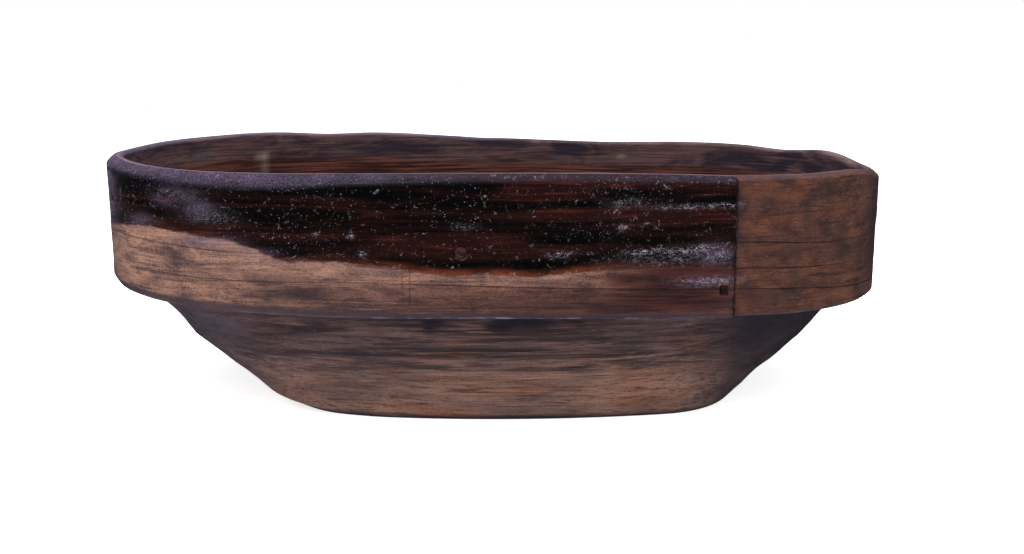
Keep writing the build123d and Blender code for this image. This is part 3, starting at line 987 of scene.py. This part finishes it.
    def edge_marks(self):
        """Marks that follow the band's edges: dust and a painted sheen on the bevel, a dark lower lip with a
        pale line along it.
        """
        low, top, heights = self.low, self.top, self.heights
        bevel_height, chamfer_height = self.bevel_height, self.chamfer_height
        dust_and_sheen = through(BEVEL_DUST_AND_SHEEN, self.column) * np.where(self.right_of_seam, 0.3, 1.0)
        skirt = smooth(heights, low + chamfer_height * 1.15, low + chamfer_height * 0.85)
        lip = np.exp(-(((heights - low - 0.3) / 0.35) ** 2))
        outside = {
            "bevel": smooth(heights, top - bevel_height * 1.2, top - bevel_height * 0.7),
            "bevel_dust_and_sheen": dust_and_sheen * smooth(heights, top - bevel_height * 1.35, top - bevel_height * 0.4),
            "skirt": skirt * np.where(self.right_of_seam, 0.35, 1.0),
            "lip": lip * through(LIP_PALENESS, self.column),
        }
        # The inner top edge carries the same dust and painted sheen.
        inside = {"bevel_dust_and_sheen": dust_and_sheen * smooth(heights, top - 2.0, top - 0.4)}
        return outside, inside

    def wood_marks(self):
        """Marks of the bare wood: where it is warm, dark, red or stained; some of the dark is painted shade
        at both tips and beside the seam.
        """
        column = self.column
        warm = self.on_ring & (self.places < 3 * QUARTER)
        low_down = smooth(self.heights, 61.0, 53.0) * through(LOW_DARKENING, column)
        to_the_right = smooth(column, front(10), front(56)) * 0.85
        # Painted shade: the left tip darkened against the key light from the left.
        left_tip = smooth(column, front(-126), front(-146)) * 0.5
        return {
            "warm": warm * smooth(self.places, 2.6 * QUARTER, 2 * QUARTER),
            "deep": np.maximum(np.maximum(low_down, to_the_right), left_tip),
            "stain": self.spots(on_front(*BAND_STAINS_AND_SHADE)),
            "red": self.spots(on_front(*RED_PATCHES)) * self.on_lap,
        }

    def lacquer_marks(self):
        """Marks of the lacquer: its distance above its edge, dull ends, a dust haze with a painted cool
        sheen at the tips, and scuffs.
        """
        column = self.column
        lacquer = self.heights - through(LACQUER_EDGE, column)
        left_tip = smooth(np.abs(column + QUARTER), 70, 25)
        right_tip = smooth(np.abs(column - QUARTER), 60, 20)
        return {
            "lacquer": np.where(self.outer_hidden | self.right_of_seam, BARE, lacquer),
            "thin_edge": through(THIN_EDGE, column),
            "dull": np.maximum(left_tip, right_tip),
            # The haze spot at the right tip is a painted cool sheen.
            "haze_dust_and_sheen": self.spots([(QUARTER, 72, 10, 24, 0.5), *on_front(*HAZE_DUST_AND_SHEEN)]),
            "scuff": self.spots(on_front(*SCUFFS)),
        }

    def inner_marks(self):
        """Marks of the inner face: its lacquer's distance below its edge, and pale drips."""
        film_top = self.top - INNER_FILM_DROP
        pale = self.spots(on_back(*PALE_DRIPS))
        return {"inside": 1, "lacquer": BARE, "inner_lacquer": film_top - self.heights, "pale": pale}

    def both_faces(self, outside, inside):
        """Each mark on the outer face's points and then on the inner's, 0 where it has none."""
        marks = {}
        for label in {**outside, **inside}:
            pair = (outside.get(label, 0), inside.get(label, 0))
            full = [np.broadcast_to(face, self.heights.shape).ravel() for face in pair]
            marks[label] = np.concatenate(full)
        return marks


def build_rim_band(material):
    band = Band()
    outer, inner, thickness = band.worn()
    crack = np.zeros(band.heights.shape)
    band.cut_checks(outer, crack)
    band.cut_peg_holes(outer, crack)
    outer = np.maximum(outer, inner + THINNEST)
    inner += band.groove(thickness)

    edge_outside, edge_inside = band.edge_marks()
    outside = {**band.lacquer_marks(), **band.wood_marks(), **edge_outside}
    outside.update({"crack": crack, "inner_lacquer": BARE})
    inside = {**band.inner_marks(), **edge_inside}
    values = band.both_faces(outside, inside)
    points, strip = [], []
    for face in (outer, inner):
        solid = np.concatenate([RIM.at(band.direction, face), band.heights[..., None]], -1)
        points.append(solid.reshape(-1, 3))
        strip.append(np.stack([band.moved, face, band.heights], -1).reshape(-1, 3))
    points, vectors = np.concatenate(points), {"strip": np.concatenate(strip)}
    faces = sheet_faces(*band.heights.shape)
    make_piece("rim_band_wood", points, faces, material, "rim_band", values, vectors)


# --- Carved base -------------------------------------------------------------

BASE_COLUMNS = 500
HULL_ROWS = 62
HOLLOW_ROWS = 46
FOOT_ROUND = 1.6
FLOOR_ROUND = 7.0
TONGUE_GAP = 0.12
FOOT_SPREAD = 4.0  # the foot flares a little on its long sides
LEFT_CUT = 2.0  # the left end is cut flatter under the band
RIGHT_CUT = 2.4  # and the right end all the way down
FOOT_CORNER = 4.5  # the foot's left corner is worn round
CRACK_DEPTH = 0.35
CUT_LENGTH, CUT_WIDTH, CUT_SIZE = 1.9, 1.4, 9.0  # the cut marks' size, and how drawn out they are
CUT_MIDDLE = 0.35  # the cut marks' own mean height
BASE_CENTRE = np.array([FOOT.shift_x, 0.0])

# Sections (height, oval, outward) that the outside and the hollow pass through.
HULL = ((0.0, FOOT, 0.0), (BELLY_Z, BELLY, 0.0), (SEAT_Z, RIM, -BAND_WALL))
HOLLOW = (
    (FLOOR_Z, FOOT, -FLOOR_INSET),
    (BELLY_Z, BELLY, -BELLY_WALL),
    (TONGUE_TOP_Z, RIM, -BAND_WALL - TONGUE_WALL),
)
# Stains on the hull; the two long thin spots at 45.5 and 46 mm are painted shadow just under the band.
BASE_STAINS_AND_SHADOW = (
    (-30, 43.0, 62, 3.2, 0.8), (28, 41.5, 26, 3.4, 0.85), (-66, 41, 10, 3, 0.4), (12, 45.5, 78, 1.6, 0.7),
    (52, 30, 9, 3, 0.35), (-12, 36, 10, 2, 0.3), (85, 40, 18, 6, 0.55), (20, 13, 12, 1.2, 0.35),
    (14, 9, 10, 1.2, 0.35), (-60, 19, 8, 3, 0.3), (0, 46, 120, 1.3, 0.65), (15, 36, 60, 7, 0.35),
    (-23, 41, 8, 4.5, 1.1), (9, 41, 15, 4.5, 1.25), (-62, 40, 8, 3.5, 0.8),
)


def section_mix(direction, height, sections):
    """A smooth surface through three sections at a height."""
    (z0, oval0, out0), (z1, oval1, out1), (z2, oval2, out2) = sections
    w0 = (height - z1) * (height - z2) / ((z0 - z1) * (z0 - z2))
    w1 = (height - z0) * (height - z2) / ((z1 - z0) * (z1 - z2))
    w2 = (height - z0) * (height - z1) / ((z2 - z0) * (z2 - z1))
    return w0 * oval0.at(direction, out0) + w1 * oval1.at(direction, out1) + w2 * oval2.at(direction, out2)


def hull_rows(direction, normal):
    """Rows (points, height) of the flat foot, its rounded edge and the hull up to the seat."""
    foot_edge = section_mix(direction, 0.0, HULL) - normal * FOOT_ROUND
    rows = [(BASE_CENTRE + (foot_edge - BASE_CENTRE) * share, 0.0) for share in (0.02, 0.25, 0.5, 0.75, 0.9)]
    for turn in np.linspace(0, math.pi / 2, 7):
        height = FOOT_ROUND * 0.8 * (1 - math.cos(turn))
        xy = section_mix(direction, height, HULL) - normal * FOOT_ROUND * (1 - math.sin(turn))
        rows.append((xy, height))
    for height in np.linspace(rows[-1][1], SEAT_Z - 0.3, HULL_ROWS + 1)[1:]:
        rows.append((section_mix(direction, height, HULL), height))
    return rows


def tongue_rows(direction):
    """Rows of the upright tongue, with its bead in the band's groove."""
    bead_low, bead_top = BEAD_Z + 0.2, BEAD_Z + BEAD_HEIGHT - 0.2
    plain, bead = -BAND_WALL - TONGUE_GAP, -BAND_WALL - TONGUE_GAP + (BEAD_DEPTH - 0.2)
    profile = (
        (plain, SEAT_Z), (plain, bead_low), (bead, bead_low), (bead, bead_top), (plain, bead_top),
        (plain, TONGUE_TOP_Z - 0.8),
    )
    return [(RIM.at(direction, outward), height) for outward, height in profile]


def hollow_rows(direction, normal):
    """Rows over the tongue's top, down the hollow and in over its floor."""
    rows = [(RIM.at(direction, -BAND_WALL - 0.7), TONGUE_TOP_Z - 0.1)]
    rows.append((RIM.at(direction, -BAND_WALL - TONGUE_WALL + 0.9), TONGUE_TOP_Z))
    low = FLOOR_Z + FLOOR_ROUND
    for height in np.linspace(TONGUE_TOP_Z - 0.8, low, HOLLOW_ROWS + 1):
        rows.append((section_mix(direction, height, HOLLOW), height))
    edge = rows[-1][0]
    for turn in np.linspace(0, math.pi / 2, 8)[1:]:
        drawn_in = normal * FLOOR_ROUND * 1.4 * (1 - math.cos(turn))
        rows.append((edge - drawn_in, low - FLOOR_ROUND * math.sin(turn)))
    floor_edge = rows[-1][0]
    for share in (0.85, 0.65, 0.45, 0.25, 0.02):
        rows.append((BASE_CENTRE + (floor_edge - BASE_CENTRE) * share, FLOOR_Z))
    return rows


def carving(points, normal, on_hull, in_hollow):
    """How far the base's surface stands out: cut marks, waves and worn ends."""
    x, z = points[..., 0], points[..., 2]
    hull = on_hull * smooth(z, 0.5, 5.0)
    hollow = in_hollow * smooth(z, FLOOR_Z - 1, FLOOR_Z + 2) * smooth(z, TONGUE_TOP_Z + 1, TONGUE_TOP_Z - 6)
    round_ends = smooth(np.abs(x), 75, 118)
    cuts = tool_marks(points / np.array([CUT_LENGTH, CUT_WIDTH, 1.0]), CUT_SIZE) - CUT_MIDDLE
    waves = unevenness(points, 40, 7)
    outward = hull * ((0.35 + 1.1 * round_ends) * cuts + 0.55 * waves + 0.10 * unevenness(points, 7, 8))
    outward -= hollow * (0.8 * cuts + 0.4 * waves)
    seat_fade = smooth(z, SEAT_Z + 0.5, SEAT_Z - 7)
    outward = np.where(on_hull, outward * (0.35 + 0.65 * seat_fade), outward)
    foot_spread = smooth(z, 15, 0) * np.abs(normal[None, :, 1])
    left_cut = 0.6 * smooth(x, -64, -100) + smooth(x, -108, -128) * smooth(z, 24, 34)
    right_cut = smooth(x, 60, 112) * (0.5 + 0.5 * smooth(z, 28, 40))
    left_corner = smooth(x, -38, -84) * smooth(z, 5, 0)
    worn = LEFT_CUT * left_cut + RIGHT_CUT * right_cut + FOOT_CORNER * left_corner
    return outward + on_hull * (FOOT_SPREAD * foot_spread - worn)


def base_crack(place, z):
    """The long crack low on the front, 1 on its line."""
    crack_height = 21.4 + 0.035 * (place - front(20)) + 0.25 * np.sin(place / 5)
    along = smooth(place, front(-2), front(6)) * smooth(place, front(42), front(30))
    return along * np.exp(-(((z - crack_height) / 0.45) ** 2))


def base_marks(points, on_hull):
    """Marks of the hull's wood: stains with painted shade under the band and along the foot, a paler lower
    half painted as light from the floor, and ends painted in cool light on the left and shade on the right.
    """
    x, z = points[..., 0], points[..., 2]
    wander = unevenness(points, 9, 31)
    stain = blobs(x + 6 * wander, z + 1.8 * wander, BASE_STAINS_AND_SHADOW)
    # Painted shade: a dark line along the foot where it meets the floor, and darkening high up under the
    # band.
    foot_line_shade = smooth(z, 3.0, 0.3) * 0.75
    shade_under_band = smooth(z, 20, 34) * 0.26
    return {
        "stain": np.maximum(np.maximum(stain, shade_under_band), foot_line_shade) * on_hull,
        # Painted bounce light from the floor on the lower half.
        "light": smooth(z, 27, 13) * smooth(z, 0.8, 3.0),
        "left_end_cool_light": smooth(x, -70, -112) * on_hull,
        "right_end_shade": smooth(x, 62, 100) * on_hull,
    }


def build_carved_base(material):
    places = np.arange(BASE_COLUMNS) * ROUND / BASE_COLUMNS
    direction = RIM.direction(places)
    normal = np.stack([np.sin(direction), -np.cos(direction)], -1)
    hull, tongue = hull_rows(direction, normal), tongue_rows(direction)
    rows = hull + tongue + hollow_rows(direction, normal)
    points = np.zeros((len(rows), BASE_COLUMNS, 3))
    points[..., :2] = [xy for xy, _ in rows]
    points[..., 2] = np.array([height for _, height in rows])[:, None]
    row = np.arange(len(rows))[:, None]
    on_hull = row < len(hull)
    in_hollow = row >= len(hull) + len(tongue)
    crack = base_crack(near_middle(places)[None, :], points[..., 2]) * on_hull
    outward = carving(points, normal, on_hull, in_hollow) - crack * CRACK_DEPTH
    points[..., :2] += outward[..., None] * normal[None]

    marks = {**base_marks(points, on_hull), "inside": in_hollow, "crack": crack}
    values = {}
    for label, mark in marks.items():
        full = np.broadcast_to(mark, points.shape[:2]).ravel()
        values[label] = np.concatenate([full, full[[0, -1]]])
    points, faces = capped_rings(points, (*BASE_CENTRE, 0.0), (*BASE_CENTRE, FLOOR_Z))
    vectors = {"place": points}
    make_piece("carved_base_wood", points, faces, material, "carved_base", values, vectors)


# --- Bond and pegs -----------------------------------------------------------


def build_lap_bond(material):
    """The film between the laps, shown at the seam, inside the bowl and on top."""
    half = BOND / 2
    lap_places = np.linspace(LAP_START, SEAM_PLACE, 60)
    path = [(SEAM_PLACE + half, LAP_STEP - 0.35), (SEAM_PLACE + half, parting(SEAM_PLACE) - half)]
    path += [(place, parting(place) - half) for place in lap_places[::-1][1:-1]]
    path += [(LAP_START - half, parting(LAP_START) - half), (LAP_START - half, -BAND_WALL + 0.25)]
    places, outward = np.array(path).T
    xy = RIM.at(RIM.direction(places), outward)
    tangent = np.gradient(xy, axis=0)
    tangent /= np.linalg.norm(tangent, axis=1)[:, None]
    sideways = np.stack([tangent[:, 1], -tangent[:, 0]], -1) * half * 0.9
    rows = 40
    low = SKIRT_Z + through(SKIRT_WAVE, places)[None, :] + 0.5
    top = TOP_Z + through(TOP_WAVE, places)[None, :] - 0.7
    heights = low + (top - low) * np.linspace(0, 1, rows)[:, None]
    sides = []
    for side in (sideways, -sideways):
        flat = np.broadcast_to(xy + side, (rows,) + xy.shape)
        sides.append(np.concatenate([flat, heights[..., None]], -1).reshape(-1, 3))
    faces = sheet_faces(rows, len(path))
    make_piece("lap_bond_film", np.concatenate(sides), faces, material, "lap_bond")


def build_peg(name, node, outline, centre, profile, roughness, seed, material):
    """A peg from its back to its face: rings (scale, outward) of one outline."""
    place = front(centre[0])
    rings = []
    for scale, outward in profile:
        xy = RIM.at(RIM.direction(place + outline[:, 0] * scale), outward)
        rings.append(np.concatenate([xy, (centre[1] + outline[:, 1] * scale)[:, None]], -1))
    rings = np.array(rings)
    direction = RIM.direction(np.array(place))
    normal = np.array([math.sin(direction), -math.cos(direction), 0])
    rings = rings + (roughness * unevenness(rings, 0.9, seed))[..., None] * normal
    points, faces = capped_rings(rings, rings[0].mean(0), rings[-1].mean(0))
    make_piece(name, points, faces, material, node)


def pad_height(peg):
    """How far the outer lap's face stands out at a peg."""
    return LAP_STEP * float(lap_share(front(peg[0])))


def build_lap_peg():
    angles = np.linspace(0, 2 * math.pi, 40, endpoint=False)
    wobble = 1 + 0.035 * np.sin(3 * angles + 1) + 0.02 * np.sin(5 * angles)
    circle = LAP_PEG_RADIUS * np.stack([np.cos(angles), np.sin(angles)], -1) * wobble[:, None]
    face = pad_height(LAP_PEG)
    profile = [
        (0.9, -BAND_WALL - 0.15), (0.98, -BAND_WALL + 0.6), (0.98, face - 0.4), (0.96, face - 0.12),
        (0.9, face - 0.02), (0.6, face), (0.3, face - 0.03),
    ]
    worn = peg_material("peg_wood", (34, 15, 11), (66, 34, 26))
    build_peg("lap_peg_wood", "lap_peg", circle, LAP_PEG, profile, 0.06, 4, worn)


def build_seam_peg():
    side = np.linspace(-1, 1, 9)[:-1]
    edge = np.ones_like(side)
    corners = ((side, -edge), (edge, side), (-side, edge), (-edge, -side))
    square = np.concatenate([np.stack(pair, -1) for pair in corners]) * (SEAM_PEG_HALF - 0.12)
    face = pad_height(SEAM_PEG) - 0.9
    profile = [
        (0.95, -9.0), (1.0, -8.5), (1.0, face - 0.25), (0.9, face), (0.55, face + 0.05), (0.2, face - 0.1),
    ]
    # Dark colours for the sunk square peg: painted shade of its hole.
    dark_and_shaded = peg_material("peg_wood_dark", (20, 13, 13), (44, 30, 29))
    build_peg("seam_peg_wood", "seam_peg", square, SEAM_PEG, profile, 0.15, 6, dark_and_shaded)


# --- Stage, lights and camera ------------------------------------------------

FLOOR_HALF = 1.6
FLOOR_GLOW_NEAR, FLOOR_GLOW_FAR = 0.78, 1.0
WHITE = (1, 1, 1, 1)


def stage_floor():
    """A pale floor, bright enough that it carries only a faint shadow."""
    mesh = bpy.data.meshes.new("studio_floor")
    corners = [(x * FLOOR_HALF, y * FLOOR_HALF, 0) for x, y in ((-1, -1), (1, -1), (1, 1), (-1, 1))]
    mesh.from_pydata(corners, [], [(0, 1, 2, 3)])
    floor = bpy.data.objects.new("studio_floor", mesh)
    floor.visible_glossy = False
    bpy.context.scene.collection.objects.link(floor)
    m = Shader(bpy.data.materials.new("floor_paper"))
    colour = m.blend(m.noise((60, 60, 60), 2), (0.86, 0.86, 0.87, 1), (0.90, 0.90, 0.91, 1))
    radius = m.made("ShaderNodeVectorMath", "Value", {0: m.place}, operation="LENGTH")
    glow = m.scale_to(m.step(radius, 0.22, 0.70), FLOOR_GLOW_NEAR, FLOOR_GLOW_FAR)
    mesh.materials.append(m.surface(colour, 0.9, specular=0.0, Emission_Color=WHITE, Emission_Strength=glow))


def studio_world():
    """White for the camera; as light, bright overhead and dim near the horizon."""
    m = Shader(bpy.data.worlds.new("studio"), coordinates="Generated")
    up = m.made("ShaderNodeSeparateXYZ", "Z", {0: m.place})
    light = m.background((0.93, 0.95, 1.0, 1), m.scale_to(m.step(up, 0.15, 0.95), 0.035, 0.6))
    seen = m.made("ShaderNodeLightPath", "Is Camera Ray", {})
    mix = m.made("ShaderNodeMixShader", 0, {0: seen, 1: light, 2: m.background(WHITE, 1.0)})
    bpy.context.scene.world = m.output("ShaderNodeOutputWorld", mix)


def area_light(name, location, target, size, power, colour):
    data = bpy.data.lights.new(name, "AREA")
    data.shape = "RECTANGLE"
    data.size, data.size_y = size
    data.energy = power
    data.color = colour
    light = bpy.data.objects.new(name, data)
    light.location = location
    light.rotation_euler = (Vector(target) - Vector(location)).to_track_quat("-Z", "Y").to_euler()
    bpy.context.scene.collection.objects.link(light)


def studio_lights():
    area_light("key_softbox", (-0.55, -0.75, 0.95), (0, 0, 0.05), (0.8, 0.6), 8.0, (1.0, 0.97, 0.93))
    area_light("fill_softbox", (0.7, -0.7, 0.75), (0, 0, 0.05), (0.7, 0.6), 4.5, (1.0, 0.98, 0.96))
    area_light("overhead_softbox", (0.0, 0.25, 1.25), (0, 0, 0.0), (1.5, 1.0), 30.0, (0.92, 0.94, 1.0))


def studio_camera():
    """The photograph's viewing angle: a little above the rim, looking slightly down."""
    data = bpy.data.cameras.new("studio_camera")
    data.sensor_width = 36.0
    data.lens = 45.93
    data.clip_start = 0.02
    camera = bpy.data.objects.new("studio_camera", data)
    camera.location = (-0.00092, -0.5336, 0.14106)
    tilt_down, turn_right = 0.1815, 0.015
    camera.rotation_euler = Euler((math.pi / 2 - tilt_down, 0, -turn_right))
    bpy.context.scene.collection.objects.link(camera)
    bpy.context.scene.camera = camera


def plain_colours():
    view = bpy.context.scene.view_settings
    view.view_transform = "Standard"
    view.look = "None"
    view.exposure = 0.0
    view.gamma = 1.0


build_rim_band(rim_band_material())
build_carved_base(base_material())
build_lap_bond(bond_material())
build_lap_peg()
build_seam_peg()
stage_floor()
studio_world()
studio_lights()
studio_camera()
plain_colours()
